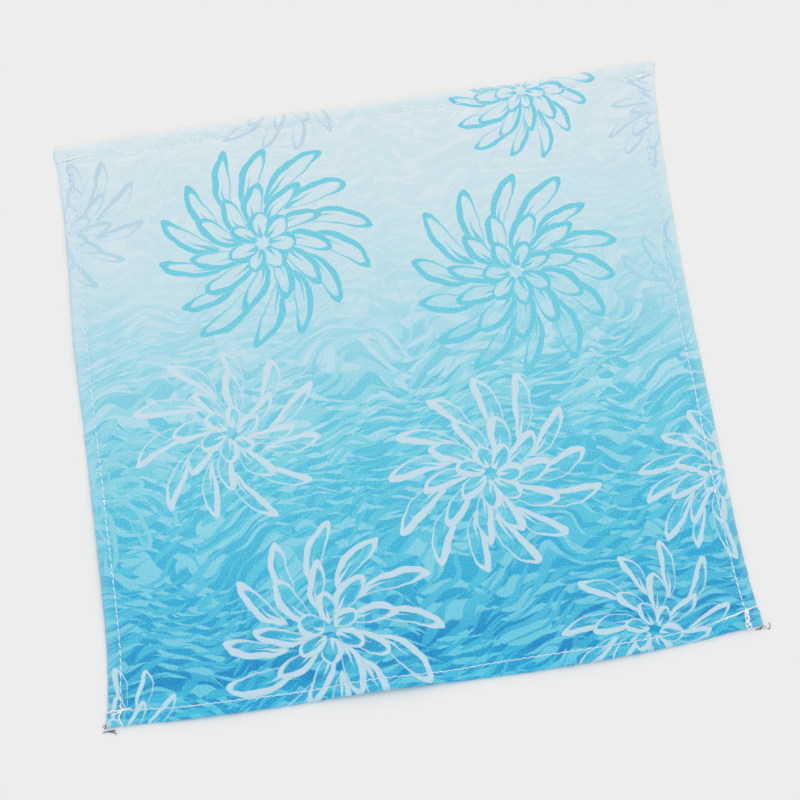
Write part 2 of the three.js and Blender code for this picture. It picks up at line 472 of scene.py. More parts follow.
# %% Tubes along a line
def frames_along(path):
    """Two directions square to a path at each of its points, turning as little as they can."""
    tangent = np.gradient(path, axis=0)
    tangent /= np.linalg.norm(tangent, axis=1)[:, None]
    first = np.empty_like(path)
    guess = np.array([0.0, 0.0, 1.0]) if abs(tangent[0, 2]) < 0.9 else np.array([1.0, 0.0, 0.0])
    for number, direction in enumerate(tangent):
        guess = guess - direction * np.dot(guess, direction)
        guess = guess / np.linalg.norm(guess)
        first[number] = guess
    return first, np.cross(tangent, first)


def tube(path, radius, sides):
    """Points and faces of a tube round a path, closed at both ends."""
    first, second = frames_along(path)
    turn = 2 * np.pi * np.arange(sides) / sides
    rings = path[:, None, :] + radius * (
        first[:, None, :] * np.cos(turn)[None, :, None]
        + second[:, None, :] * np.sin(turn)[None, :, None]
    )
    faces = []
    for start in range(0, (len(path) - 1) * sides, sides):
        for side in range(sides):
            beside = (side + 1) % sides
            faces.append((start + side, start + beside, start + sides + beside, start + sides + side))
    last = (len(path) - 1) * sides
    faces += [tuple(reversed(range(sides))), tuple(range(last, last + sides))]
    return rings.reshape(-1, 3), faces


def joined(parts):
    """The points and faces of several parts as one."""
    points, faces, count = [], [], 0
    for part_points, part_faces in parts:
        points.append(part_points)
        faces += [tuple(count + corner for corner in face) for face in part_faces]
        count += len(part_points)
    return np.concatenate(points), faces


# %% Thread of two plies
PLIES = 2
# How far a ply is from the thread's middle line, and its radius, as shares of the thread's width
PLY_OFFSET = 0.23
PLY_RADIUS = 0.29


def twisted(path, width, twist, sides):
    """Points and faces of a thread of this width, with `twist` turns along its whole path."""
    first, second = frames_along(path)
    turns = 2 * np.pi * twist * np.linspace(0, 1, len(path))
    plies = []
    for ply in range(PLIES):
        angle = turns + 2 * np.pi * ply / PLIES
        offset = first * np.cos(angle)[:, None] + second * np.sin(angle)[:, None]
        plies.append(tube(path + offset * width * PLY_OFFSET, width * PLY_RADIUS, sides))
    return joined(plies)


# %% [markdown]
# ## Writing nodes
# Geometry Nodes and shaders are both trees of nodes, and much of what they do is arithmetic.
# `Wire` holds one socket, and Python's own signs on it add the Math nodes, so a formula
# reads as a formula. `Nodes.node` makes every other node from its type, its settings and
# its inputs.

# %% Wires
class Wire:
    """One value on its way from a node's output."""

    def __init__(self, nodes, socket):
        self.nodes = nodes
        self.socket = socket

    def __add__(self, other):
        return self.nodes.math("ADD", self, other)

    def __sub__(self, other):
        return self.nodes.math("SUBTRACT", self, other)

    def __mul__(self, other):
        return self.nodes.math("MULTIPLY", self, other)

    def __truediv__(self, other):
        return self.nodes.math("DIVIDE", self, other)

    def __pow__(self, other):
        return self.nodes.math("POWER", self, other)

    def __rsub__(self, other):
        return self.nodes.math("SUBTRACT", other, self)

    def __rtruediv__(self, other):
        return self.nodes.math("DIVIDE", other, self)

    __radd__ = __add__
    __rmul__ = __mul__


# %% Nodes
class Nodes:
    """The nodes of one tree: a material's, a shader group's or a geometry tree's."""

    def __init__(self, tree):
        self.tree = tree

    def feed(self, socket, value):
        if isinstance(value, Wire):
            self.tree.links.new(value.socket, socket)
        else:
            socket.default_value = value

    def node(self, kind, settings=None, inputs=None, output=0):
        """Makes a node and gives back one output, or several if `output` is a list."""
        made = self.tree.nodes.new(kind)
        for key, value in (settings or {}).items():
            if key == "stops":
                set_stops(made.color_ramp, value)
            else:
                setattr(made, key, value)
        for key, value in (inputs or {}).items():
            self.feed(made.inputs[key], value)
        if isinstance(output, list):
            return [Wire(self, made.outputs[one]) for one in output]
        return Wire(self, made.outputs[output])

    def math(self, operation, *values):
        return self.node("ShaderNodeMath", {"operation": operation}, dict(enumerate(values)))

    def vector(self, operation, *values, output=0):
        settings = {"operation": operation}
        return self.node("ShaderNodeVectorMath", settings, dict(enumerate(values)), output)

    def combine(self, x=0.0, y=0.0, z=0.0):
        return self.node("ShaderNodeCombineXYZ", None, {0: x, 1: y, 2: z})

    def parts(self, vector):
        return self.node("ShaderNodeSeparateXYZ", None, {0: vector}, [0, 1, 2])

    def clamp(self, value):
        return self.node("ShaderNodeClamp", None, {"Value": value, "Min": 0.0, "Max": 1.0})

    def mix(self, factor, below, above):
        """Colour `above` laid over colour `below`."""
        inputs = {0: factor, 6: below, 7: above}
        return self.node("ShaderNodeMix", {"data_type": "RGBA"}, inputs, 2)

    def noise(self, place, scale, detail=2.0, output="Fac", dimensions="2D"):
        inputs = {"Vector": place, "Scale": scale, "Detail": detail}
        return self.node("ShaderNodeTexNoise", {"noise_dimensions": dimensions}, inputs, output)

    def bump(self, height, strength, depth):
        """The slope of a relief this many millimetres deep."""
        inputs = {"Strength": strength, "Distance": depth * MM, "Height": height}
        return self.node("ShaderNodeBump", None, inputs)

    def channels(self, colour):
        return self.node("ShaderNodeSeparateColor", None, {0: colour}, [0, 1, 2])

    def chances(self, key):
        """Three steady random numbers from 0 to 1 for each value of key."""
        settings = {"noise_dimensions": "1D"}
        return self.channels(self.node("ShaderNodeTexWhiteNoise", settings, {"W": key}, "Color"))

    def close(self, results):
        """Joins the results to the tree's outputs, and gives back the tree."""
        end = self.tree.nodes.new("NodeGroupOutput")
        for title, wire in results.items():
            self.feed(end.inputs[title], wire)
        return self.tree


def new_tree(kind, name, inputs, outputs):
    """The nodes of a new tree, and wires from its inputs. Both dicts give a socket type by name."""
    nodes = Nodes(bpy.data.node_groups.new(name, kind))
    for direction, sockets in (("INPUT", inputs), ("OUTPUT", outputs)):
        for title, socket in sockets.items():
            nodes.tree.interface.new_socket(title, in_out=direction, socket_type="NodeSocket" + socket)
    start = nodes.tree.nodes.new("NodeGroupInput")
    return nodes, {title: Wire(nodes, start.outputs[title]) for title in inputs}


# %% [markdown]
# ## Lockstitch
# Between two needle holes the upper thread lies on the face and dives into the cloth at
# both ends. The lower thread does the same on the back. One stitch is modelled a
# millimetre long, and Geometry Nodes lays it between every two holes at their distance.

# %% Where the stitches lie
SEAM_RUNS = [
    # seam, first and last distance along it in mm, step aside, and count of a hole that starts it
    ("front", 0.4, 249.3, 0.0, 0.0),
    ("back", 0.3, 243.8, 0.0, 0.0),
    ("left", 5.6, 249.2, 0.0, 0.0),
    ("right", 6.6, 249.2, 0.0, 0.0),
    # Back-tacks: sewn again over the first or last stitches, a little to the side.
    ("back", 0.6, 10.8, 0.22, 0.5),
    ("front", 3.6, 9.6, 0.25, 0.45),
    ("front", 231.0, 244.6, 0.18, 0.5),
]
SEAM_SAMPLES = 3000


def seam_places(name, distance, aside):
    """The shares across and up of places along a seam."""
    along = distance / SIDE
    inset = (through(SEAM_INSETS, name, along) + aside) / SIDE
    return {
        "front": (along, inset),
        "back": (along, 1 - inset),
        "left": (inset, along),
        "right": (1 - inset, along),
    }[name]


def stitch_places(seam, layer):
    """Middle and direction of every stitch of one seam on one layer, in mm."""
    middles, directions = [], []
    for _, first, last, aside, shift in [run for run in SEAM_RUNS if run[0] == seam]:
        distance = np.linspace(first, last, SEAM_SAMPLES)
        count = hole_count(seam, distance) + shift
        numbers = np.arange(math.ceil(count[0]), math.floor(count[-1]) + 1)
        holes = np.interp(numbers, count, distance)
        ends = on_cloth(*seam_places(seam, holes, aside), layer)
        middles.append(on_cloth(*seam_places(seam, (holes[1:] + holes[:-1]) / 2, aside), layer))
        directions.append(ends[1:] - ends[:-1])
    return np.concatenate(middles), np.concatenate(directions)


# %% One stitch
HALF_ARCH = ((-1.0, -0.36), (-0.86, -0.08), (-0.55, 0.10))
STITCH_ARCH = (*HALF_ARCH, (0.0, 0.17), *((-x, z) for x, z in reversed(HALF_ARCH)))
STITCH_TWIST = 1.3


def one_stitch(name, side, share, width):
    """A stitch that takes this share of the way between two holes; side -1 faces down."""
    path = np.array([(0.5 * x * share, 0.0, side * z) for x, z in STITCH_ARCH])
    return mesh_object(name, *twisted(path, width, STITCH_TWIST, sides=5))


# %% [markdown]
# A geometry tree sets one shape at every point, gives it a finish and makes it real mesh.
# Two functions hold what such trees share: their common inputs, and their closing nodes.

# %% What every placing tree has
def placing_tree(name, *sizes):
    """A geometry tree that takes points, a shape, its finish, a seed and these sizes."""
    inputs = {"Geometry": "Geometry", "Shape": "Object", "Finish": "Material", "Seed": "Int"}
    inputs |= dict.fromkeys(sizes, "Float")
    return new_tree("GeometryNodeTree", name, inputs, {"Geometry": "Geometry"})


def set_shapes(nodes, given, rotation, scale):
    """Sets the shape at every point, turned and scaled, and closes the tree."""
    shape = nodes.node("GeometryNodeObjectInfo", None, {"Object": given["Shape"]}, "Geometry")
    inputs = {"Points": given["Geometry"], "Instance": shape, "Rotation": rotation, "Scale": scale}
    placed = nodes.node("GeometryNodeInstanceOnPoints", None, inputs)
    real = nodes.node("GeometryNodeRealizeInstances", None, {"Geometry": placed})
    inputs = {"Geometry": real, "Material": given["Finish"]}
    return nodes.close({"Geometry": nodes.node("GeometryNodeSetMaterial", None, inputs)})


# %% [markdown]
# The stitches' tree reads each point's stored direction, turns the stitch along it, lets a
# random number sway it a little, and stretches it to the distance between its holes.

# %% Geometry Nodes for the stitches
def stitches_tree():
    nodes, given = placing_tree("lay_stitches", "Slant", "Sway")
    settings = {"data_type": "FLOAT_VECTOR"}
    direction = nodes.node(
        "GeometryNodeInputNamedAttribute", settings, {"Name": "direction"}, "Attribute"
    )
    turned = nodes.node("FunctionNodeAlignRotationToVector", {"axis": "X"}, {"Vector": direction})
    inputs = {2: -1.0, 3: 1.0, "Seed": given["Seed"]}
    chance = nodes.node("FunctionNodeRandomValue", {"data_type": "FLOAT"}, inputs, 1)
    euler = nodes.combine(z=chance * given["Sway"] + given["Slant"])
    inputs = {"Rotation": turned, "Rotate By": nodes.node("FunctionNodeEulerToRotation", None, {0: euler})}
    rotation = nodes.node("FunctionNodeRotateRotation", {"rotation_space": "LOCAL"}, inputs)
    length = nodes.vector("LENGTH", direction, output=1)
    return set_shapes(nodes, given, rotation, nodes.combine(length / MM, 1.0, 1.0))


# %% Evaluate a tree on a mesh of points
def grown(name, points_mm, attributes, tree, values):
    """A plain mesh object made by a geometry tree from points with these attributes."""
    seeds = mesh_object(name, points_mm, [])
    for title, vectors in attributes.items():
        stored = seeds.data.attributes.new(title, "FLOAT_VECTOR", "POINT")
        stored.data.foreach_set("vector", np.asarray(vectors).ravel())
    modifier = seeds.modifiers.new(name, "NODES")
    modifier.node_group = tree
    for item in tree.interface.items_tree:
        if item.in_out == "INPUT" and item.name in values:
            modifier[item.identifier] = values[item.name]
    bpy.context.view_layer.update()
    evaluated = seeds.evaluated_get(bpy.context.evaluated_depsgraph_get())
    mesh = bpy.data.meshes.new_from_object(evaluated)
    seeds.modifiers.remove(modifier)
    seeds.data = mesh
    mesh.name = name
    mesh.shade_smooth()
    triangles = sum(len(polygon.vertices) - 2 for polygon in mesh.polygons)
    print(name, "triangles:", triangles)
    return seeds


# %% [markdown]
# ## Camera, light and floor
# The camera looks down at the cloth from the front, a little from the left. A long lens from
# a metre away keeps the square nearly square.

# %% Camera
CAMERA_AIM = (1.0, -10.0)
CAMERA_AZIMUTH = -8.468
CAMERA_ELEVATION = 66.43
CAMERA_DISTANCE = 1.011
CAMERA_LENS = 115.4
CAMERA_SENSOR = 36

azimuth, elevation = math.radians(CAMERA_AZIMUTH), math.radians(CAMERA_ELEVATION)
away = Vector((
    math.sin(azimuth) * math.cos(elevation),
    -math.cos(azimuth) * math.cos(elevation),
    math.sin(elevation),
))
aim = Vector(((np.array(CAMERA_AIM) + centre_shift) * MM).tolist() + [0.0])
camera_data = bpy.data.cameras.new("camera")
camera_data.lens = CAMERA_LENS
camera_data.sensor_width = CAMERA_SENSOR
camera = bpy.data.objects.new("camera", camera_data)
camera.location = aim + away * CAMERA_DISTANCE
camera.rotation_euler = away.to_track_quat("Z", "Y").to_euler()
bpy.context.scene.collection.objects.link(camera)
bpy.context.scene.camera = camera

# %% Floor
FLOOR_REACH = 3000
FLOOR_CORNERS = ((-1, -1), (1, -1), (1, 1), (-1, 1))

floor_points = [(x * FLOOR_REACH, y * FLOOR_REACH, 0) for x, y in FLOOR_CORNERS]
floor = mesh_object("floor", floor_points, [(0, 1, 2, 3)])

# %% [markdown]
# The cloth lies by a window, with a pale room round it. The even world gives most of the
# light. A wide warm lamp behind the cloth throws the soft shadow in front, and a weaker cool
# one from the front keeps that shadow open. Their sum on the table is 1 in each colour, so
# a colour shows as it is written.

# %% Light
WORLD_STRENGTH = 0.64
WORLD_COLOUR = (0.82, 1.0, 1.085)
LAMPS = {
    # direction to the lamp, energy, width in degrees and colour
    "key": ((0.40, 0.90, 1.0), 1.005, 75, (1.616, 1.0, 0.709)),
    "fill": ((-0.20, -0.80, 0.80), 0.632, 80, (0.82, 1.0, 1.085)),
}

world = bpy.data.worlds.new("world")
bpy.context.scene.world = world
world.use_nodes = True
world.node_tree.nodes["Background"].inputs["Color"].default_value = (*WORLD_COLOUR, 1)
world.node_tree.nodes["Background"].inputs["Strength"].default_value = WORLD_STRENGTH
level = WORLD_STRENGTH * np.array(WORLD_COLOUR)
for name, (direction, energy, width, colour) in LAMPS.items():
    lamp_data = bpy.data.lights.new(name, "SUN")
    lamp_data.energy = energy
    lamp_data.angle = math.radians(width)
    lamp_data.color = colour
    lamp = bpy.data.objects.new(name, lamp_data)
    lamp.rotation_euler = Vector(direction).to_track_quat("Z", "Y").to_euler()
    bpy.context.scene.collection.objects.link(lamp)
    level += energy * np.array(colour) * Vector(direction).normalized().z / math.pi
bpy.context.scene.view_settings.view_transform = "Standard"
print("light on the table, by colour:", level.round(3))

# %% [markdown]
# ## The print
# The cloth is printed from a pale, almost white blue at the back to a clear sea blue at the
# front. The ground is laid in brush strokes of three tones, which hardly show at the back
# and stand out at the front. Over it lie large flowers with three rings of slender, curling
# petals. Each tone is a ramp along the cloth, so one flower can be blue on pale ground and
# another pale on blue.

# %% Colours and ramps
def dyed(red, green, blue):
    """A colour named as it looks on a screen, 0 to 255, as the linear colour of a shader."""
    channels = [channel / 255 for channel in (red, green, blue)]
    linear = [c / 12.92 if c <= 0.04045 else ((c + 0.055) / 1.055) ** 2.4 for c in channels]
    return (*linear, 1.0)


def set_stops(ramp, stops):
    """Colour stops as rows of a place from 0 to 1 and a red, green and blue, in order."""
    while len(ramp.elements) < len(stops):
        ramp.elements.new(1.0)
    for element, (place, *colour) in zip(ramp.elements, stops):
        element.position = place
        element.color = dyed(*colour)


# %% Tones of the print, from the front edge to the back edge
TONES = {
    # In deep and mid the first stops, on the front hem, are lighter than the next: painted light that
    # offsets the shade of the front hem, which faces away from the key lamp.
    "deep": [
        (0.00, 26, 160, 209), (0.025, 24, 156, 207), (0.05, 4, 137, 197), (0.14, 40, 168, 211),
        (0.21, 54, 177, 215), (0.34, 80, 191, 219), (0.46, 98, 198, 221), (0.60, 154, 214, 229),
        (0.72, 190, 222, 231), (0.85, 200, 224, 232), (1.00, 208, 227, 233),
    ],
    "mid": [
        (0.00, 64, 188, 221), (0.025, 60, 184, 219), (0.05, 50, 171, 212), (0.10, 70, 184, 218),
        (0.21, 84, 194, 221), (0.34, 99, 201, 223), (0.44, 131, 210, 227), (0.60, 173, 219, 231),
        (0.72, 195, 223, 232), (0.85, 204, 225, 233), (1.00, 213, 229, 235),
    ],
    "light": [
        (0.00, 94, 200, 223), (0.12, 116, 202, 224), (0.25, 130, 208, 227), (0.36, 147, 214, 230),
        (0.50, 176, 220, 232), (0.60, 188, 222, 233), (0.72, 200, 225, 233), (0.85, 211, 228, 234),
        (1.00, 219, 231, 236),
    ],
    "blue": [(0.00, 86, 190, 219), (0.40, 102, 202, 222), (1.00, 112, 204, 223)],
    "pale": [(0.00, 190, 217, 230), (0.30, 196, 219, 231), (0.70, 202, 224, 234), (1.00, 214, 229, 235)],
    "faint": [
        (0.00, 104, 199, 223), (0.30, 130, 208, 226), (0.60, 154, 212, 228), (0.80, 176, 212, 228),
        (1.00, 188, 211, 226),
    ],
    "worn_and_sheen": [(0.00, 150, 216, 232), (0.50, 206, 230, 238), (1.00, 240, 243, 245)],
}
FLOWERS = {
    # tone: x, y and radius in mm of every flower that is printed in it
    "faint": [(0, 212, 34), (92, 262, 32), (254, 222, 27), (0, 94, 38), (252, 146, 33)],
    "blue": [(80, 192, 48), (182, 164, 48), (193, 246, 34)],
    "pale": [(58, 112, 41), (158, 80, 45), (250, 62, 36), (86, 26, 46), (209, 8, 36), (2, -6, 30)],
}
# For each ring of petals: how far out it starts and ends, and its number of petals, as shares
RINGS = {"outer": (0.36, 1.0, 1.0), "middle": (0.15, 0.66, 0.75), "inner": (0.05, 0.34, 0.5)}
PRINT_SIZE = 250.0
PRINT_EDGE = 0.4
print("tones:", len(TONES), "flowers:", sum(len(flowers) for flowers in FLOWERS.values()))

# %% [markdown]
# A ring of petals is a circle cut into equal sectors. In each sector the distance from its
# middle line is compared with the petal's half width at that radius, and a brush line is
# drawn along the petal's rim and up its middle. A random number for each sector makes no
# two petals alike. The ring, the flower and the brush stroke are groups: each is drawn once
# and used several times.

# %% Node group: one ring of petals
RING_INPUTS = ("Radius", "Angle", "Reach", "Count", "Start", "End", "Seed")
PETAL_WIDTH = 0.24
# By chance a petal is shorter, stands aside in its sector, and is wider or narrower.
PETAL_SHORTER = 0.24
PETAL_ASIDE = 0.14
PETAL_WIDER = 0.3
# Widths of the two brush lines, as shares of the flower's radius
RIM_BRUSH = 0.042
VEIN_BRUSH = 0.045
VEIN_END = 0.62


def shader_group(name, numbers, outputs, places=()):
    """A shader group that takes these places and numbers and gives back numbers."""
    inputs = dict.fromkeys(places, "Vector") | dict.fromkeys(numbers, "Float")
    return new_tree("ShaderNodeTree", name, inputs, dict.fromkeys(outputs, "Float"))


def petal_ring_group():
    """The brush lines of a ring of petals, and the ground that the petals cover."""
    shade, given = shader_group("petal_ring", RING_INPUTS, ("Lines", "Cover"))
    radius, reach, count, seed = (given[key] for key in ("Radius", "Reach", "Count", "Seed"))
    sector = 2 * math.pi / count
    place = given["Angle"] / sector
    cell = shade.math("FLOOR", place)
    chance, second, third = shade.chances(shade.math("FLOORED_MODULO", cell, count) + seed)
    length = (given["End"] - given["Start"]) * (1 - chance * PETAL_SHORTER)
    along = shade.clamp((radius - given["Start"]) / length)
    aside = (place - cell - 0.5 + (second - 0.5) * PETAL_ASIDE) * sector * (reach * radius)
    width = (third * PETAL_WIDER + (1 - PETAL_WIDER / 2)) * PETAL_WIDTH * reach
    half = along**0.8 * (1 - along) ** 0.55 * width
    inside = half - shade.math("ABSOLUTE", aside)
    brush = (aside / (half + 0.3) * 0.6 + 0.8) * (along * 0.7 + 0.4) * (reach * RIM_BRUSH)
    rim = shade.clamp((brush - shade.math("ABSOLUTE", inside - brush)) / PRINT_EDGE)
    vein = (VEIN_END - along) * shade.clamp(along * 9.0) * (reach * VEIN_BRUSH)
    vein = shade.clamp((vein - shade.math("ABSOLUTE", aside)) / PRINT_EDGE)
    cover = shade.clamp(inside / PRINT_EDGE)
    return shade.close({"Lines": shade.math("MAXIMUM", rim, vein), "Cover": cover})


# %% Node group: one flower
LEAST_PETALS = 11.0
MORE_PETALS = 3.0


def flower_group(ring_tree):
    """A flower of three rings. Outer and inner ring never meet, so one group draws both."""
    shade, given = shader_group("flower", (), ("Lines", "Cover"), ("Place", "Chosen"))
    seed_x, seed_y, reach = shade.parts(given["Chosen"])
    across, up, _ = shade.parts(shade.vector("SUBTRACT", given["Place"], given["Chosen"]))
    radius = shade.math("SQRT", across * across + up * up) / reach
    chance, second, third = shade.chances(seed_x + seed_y * 3.1)
    twist = (shade.math("GREATER_THAN", second, 0.5) - 0.5) * (third * 0.5 + 1.0)
    angle = shade.math("ARCTAN2", up, across) + radius * twist + third * 3.0 + math.pi
    petals = shade.math("ROUND", chance * MORE_PETALS + LEAST_PETALS)

    def ring(start, end, share, seed):
        count = shade.math("ROUND", petals * share)
        inputs = dict(zip(RING_INPUTS, (radius, angle, reach, count, start, end, seed)))
        return shade.node("ShaderNodeGroup", {"node_tree": ring_tree}, inputs, [0, 1])

    outside = shade.math("GREATER_THAN", radius, (RINGS["outer"][0] + RINGS["inner"][1]) / 2)
    ring_sizes = [
        outside * (outer - inner) + inner for outer, inner in zip(RINGS["outer"], RINGS["inner"])
    ]
    lines, cover = ring(*ring_sizes, seed_x + outside * 50.0)
    middle_lines, middle_cover = ring(*RINGS["middle"], seed_x + 25.0)
    lines = lines * (1 - middle_cover * outside)
    middle_lines = middle_lines * (1 - cover * (1 - outside))
    return shade.close({
        "Lines": shade.math("MAXIMUM", lines, middle_lines),
        "Cover": shade.math("MAXIMUM", cover, middle_cover),
    })


# %% Node group: brush strokes of the ground
STROKE_INPUTS = ("Across", "Up", "Length", "Width", "Weight", "Seed")


def stroke_group():
    """A mask of short brush strokes, one in each brick of a wall that chance has shifted.

    The odd multipliers of row and brick only keep their random numbers apart.
    """
    shade, given = shader_group("strokes", STROKE_INPUTS, ("Fill",))
    length, width, seed = given["Length"], given["Width"], given["Seed"]
    rows = given["Up"] / width
    row = shade.math("FLOOR", rows)
    bricks = given["Across"] / length + shade.math("SINE", row * 12.7 + seed) * 7.0
    brick = shade.math("FLOOR", bricks)
    chance, second, third = shade.chances(row * 17.3 + brick * 5.7 + seed)
    along = bricks - brick
    lean = (along - 0.5) * (chance - 0.5) * 0.9
    bow = (along - 0.5) * (along - 0.5) * (second - 0.3) * 1.6
    aside = rows - row - 0.5 + lean + bow
    taper = shade.math("SQRT", along * (1 - along)) * (third * 0.7 + 0.6) * (1.2 - along)
    half = taper * given["Weight"]
    edge = (half - shade.math("ABSOLUTE", aside)) * width / PRINT_EDGE
    return shade.close({"Fill": shade.clamp(edge)})


# %% [markdown]
# The strokes are laid in eight layers, long and broad ones first and fine ones last, each
# leaning its own way. The whole ground is bent by a slow noise, so that the strokes flow
# round one another. A lighter tremble in the flowers keeps their lines from looking ruled.

# %% The print's colours, layer on layer
STROKE_LAYERS = [
    # length and width of the strokes' bricks in mm, their lean, their weight and their tone
    (72.0, 24.0, 0.35, 1.4, "deep"),
    (62.0, 18.0, -0.30, 0.7, "light"),
    (52.0, 15.0, 0.15, 1.2, "deep"),
    (46.0, 12.0, 0.60, 0.9, "mid"),
    (38.0, 9.5, -0.50, 0.6, "light"),
    (34.0, 7.6, 0.30, 1.1, "deep"),
    (28.0, 6.0, -0.10, 0.6, "light"),
    (25.0, 4.8, 0.50, 0.7, "mid"),
]
# Each wander is a noise's scale per mm and how far it moves the print in mm.
GROUND_WANDERS = ((0.017, 44.0), (0.25, 1.2))
FLOWER_WANDERS = ((0.08, 3.0), (2.2, 0.3))
TONE_DRIFT = 0.10
PETAL_COVER = 0.4
FAR_AWAY = 9.0


def wandering(shade, place, wanders):
    """A place moved a little by noise, as a brush or a coarse weave moves a line."""
    for scale, reach in wanders:
        red, green, _ = shade.channels(shade.noise(place, scale, 2.0, "Color"))
        shift = shade.combine((red - 0.5) * reach, (green - 0.5) * reach)
        place = shade.vector("ADD", place, shift)
    return place


def nearest_flower(shade, place, flowers):
    """The x, y and radius of the flower that reaches furthest over each place."""
    best, chosen = FAR_AWAY, flowers[0]
    for x, y, reach in flowers:
        distance = shade.vector("DISTANCE", place, (x, y, 0.0), output=1) / reach
        nearer = shade.math("LESS_THAN", distance, best)
        best = shade.math("MINIMUM", distance, best)
        inputs = {0: nearer, 4: chosen, 5: (x, y, reach)}
        chosen = shade.node("ShaderNodeMix", {"data_type": "VECTOR"}, inputs, 1)
    return chosen


def print_colour(shade, place, up):
    """The printed colour at each place, and the pale tone for worn ink and painted sheen on folds."""
    level = shade.clamp(up + (shade.noise(place, 0.03, 1.0) - 0.5) * TONE_DRIFT)
    tones = {
        name: shade.node("ShaderNodeValToRGB", {"stops": stops}, {"Fac": level}, "Color")
        for name, stops in TONES.items()
    }
    x, y, _ = shade.parts(wandering(shade, place, GROUND_WANDERS))
    strokes_tree = stroke_group()
    colour = tones["mid"]
    for number, (length, width, lean, weight, tone) in enumerate(STROKE_LAYERS):
        across = x * math.cos(lean) + y * math.sin(lean)
        upward = y * math.cos(lean) - x * math.sin(lean)
        seed = 91.0 * (number + 1)
        inputs = dict(zip(STROKE_INPUTS, (across, upward, length, width, weight, seed)))
        fill = shade.node("ShaderNodeGroup", {"node_tree": strokes_tree}, inputs)
        colour = shade.mix(fill, colour, tones[tone])
    drawn = wandering(shade, place, FLOWER_WANDERS)
    flower_tree = flower_group(petal_ring_group())
    for tone, flowers in FLOWERS.items():
        inputs = {"Place": drawn, "Chosen": nearest_flower(shade, drawn, flowers)}
        lines, cover = shade.node("ShaderNodeGroup", {"node_tree": flower_tree}, inputs, [0, 1])
        colour = shade.mix(cover * PETAL_COVER, colour, tones["mid"])
        colour = shade.mix(lines, colour, tones[tone])
    return colour, tones["worn_and_sheen"]


# %% [markdown]
# The ink lies on the yarns, so the print has the weave's fine grain, and more of it in the
# clear blue than in the pale ground. Where a yarn stands up, less ink reaches the cloth and a
# pale tone comes through. Along the folds that pale tone is partly paler dye and partly
# painted sheen, the light that the back and side folds catch from the key lamp. The front
# fold faces away from that lamp and gets less: there the paling is measured from a line
# outside the edge.

# %% The printed face
GRAIN_SCALE = 1.8
# The grain's strength in pure black, how much redness takes from it, and the least it can be
GRAIN_STRENGTH = (0.82, 1.15, 0.11)
YARN_SCALE = 1.9
BARE_YARN = 0.72
# Along the folds: how much paler, and how far in. This is partly paler dye and partly painted sheen; the
# front fold faces away from the key lamp and gets less.
FOLD_SHEEN_AND_PALING = 0.32
FOLD_SHEEN_AND_PALING_REACH = 5.0
FRONT_FOLD_LESS_SHEEN = 3.6


def new_material(name):
    """A material and the nodes of its tree."""
    material = bpy.data.materials.new(name)
    material.use_nodes = True
    return material, Nodes(material.node_tree)


def surfaced(material, shade, finish):
    """Gives a material's surface these values and wires, each by the name of its input."""
    surface = material.node_tree.nodes["Principled BSDF"]
    for title, value in finish.items():
        shade.feed(surface.inputs[title], value)
    print(material.name, "nodes:", len(material.node_tree.nodes))
    return material


def printed_cotton():
    material, shade = new_material("printed_cotton")
    uv = shade.node("ShaderNodeUVMap", {"uv_map": "print_shares"})
    place = shade.vector("MULTIPLY", uv, (PRINT_SIZE, PRINT_SIZE, 0.0))
    _, up, _ = shade.parts(uv)
    colour, worn_and_sheen = print_colour(shade, place, up)
    grain = shade.noise(place, GRAIN_SCALE, 1.0)
    redness, _, _ = shade.channels(colour)
    most, fall, least = GRAIN_STRENGTH
    value = (grain - 0.5) * shade.math("MAXIMUM", most - redness * fall, least) + 1.0
    colour = shade.node("ShaderNodeHueSaturation", None, {"Color": colour, "Value": value})
    # Paler along the folds, partly dye and partly painted sheen; the front fold, facing away from the key
    # lamp, is measured from a line outside the edge and gets less.
    x, y, _ = shade.parts(place)
    inset = shade.math("MINIMUM", x, PRINT_SIZE - x)
    inset = shade.math("MINIMUM", inset, shade.math("MINIMUM", y + FRONT_FOLD_LESS_SHEEN, PRINT_SIZE - y))
    fold_sheen_and_paling = shade.clamp(1.0 - inset / FOLD_SHEEN_AND_PALING_REACH)
    bare_and_sheen = (shade.noise(place, YARN_SCALE, 1.0) - 0.5) * BARE_YARN + fold_sheen_and_paling * FOLD_SHEEN_AND_PALING
    return surfaced(material, shade, {
        "Base Color": shade.mix(shade.clamp(bare_and_sheen), colour, worn_and_sheen),
        "Normal": shade.bump(grain, 0.35, 0.3),
        "Roughness": 0.93, "Specular IOR Level": 0.2, "Sheen Weight": 0.35, "Sheen Roughness": 0.5,
    })


# %% [markdown]
# ## Yarns and threads
# Everything that isn't printed is spun: the pile, the loose fibres and the sewing thread. A
# spun yarn shows streaks of shade between its fibres, so one function mixes two tones by a
# fine noise in the yarn's own scale, and lets the same noise raise a slight relief.

# %% Spun yarn
PATCH_SCALE = 0.08


def spun_yarn(name, shaded, bright, fibre, sheen):
    """Yarn whose fibres are this thick in mm, between a shaded and a bright tone."""
    material, shade = new_material(name)
    place = shade.node("ShaderNodeTexCoord", None, None, "Object")
    fibres = shade.noise(place, 1 / (fibre * MM), 1.0, dimensions="3D")
    patches = shade.noise(place, PATCH_SCALE / (fibre * MM), 1.0, dimensions="3D")
    blend = shade.clamp(fibres * 1.3 + patches * 0.7 - 0.5)
    return surfaced(material, shade, {
        "Base Color": shade.mix(blend, dyed(*shaded), dyed(*bright)),
        "Normal": shade.bump(fibres, 0.3, 0.1),
        "Roughness": 0.85, "Specular IOR Level": 0.3, "Sheen Weight": sheen, "Sheen Roughness": 0.4,
    })


